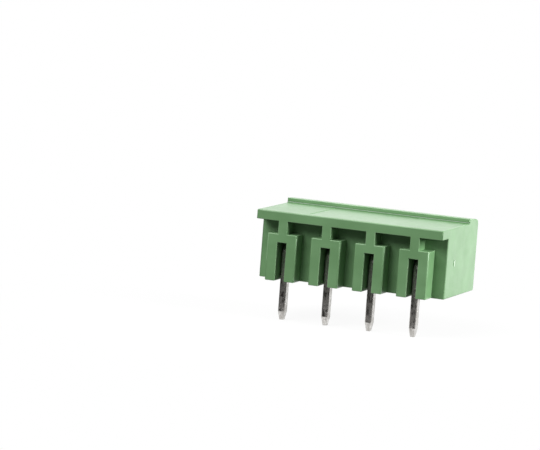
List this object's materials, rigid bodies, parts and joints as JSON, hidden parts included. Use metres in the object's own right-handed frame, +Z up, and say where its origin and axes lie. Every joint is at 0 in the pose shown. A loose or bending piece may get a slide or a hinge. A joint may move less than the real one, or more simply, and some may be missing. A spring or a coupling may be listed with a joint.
{
  "type": "pcb pin header",
  "caption": "Right-angle board header for a plug-in terminal block: shrouded green housing with a row of bent solder pins.",
  "frame": {"origin": "on the board surface, in the middle of the row of solder pins", "axes": "+X along the pin row, +Z up from the board, -Y out of the socket towards the plug"},
  "size_m": [0.0216, 0.012, 0.0126],
  "materials": {
    "housing_plastic": "satin moulded green polyamide",
    "tinned_pin": "bright tin plating over drawn wire"
  },
  "bodies": {
    "root": {"housing": "housing_plastic", "pin_1": "tinned_pin", "pin_2": "tinned_pin", "pin_3": "tinned_pin", "pin_4": "tinned_pin"}
  },
  "joints": []
}
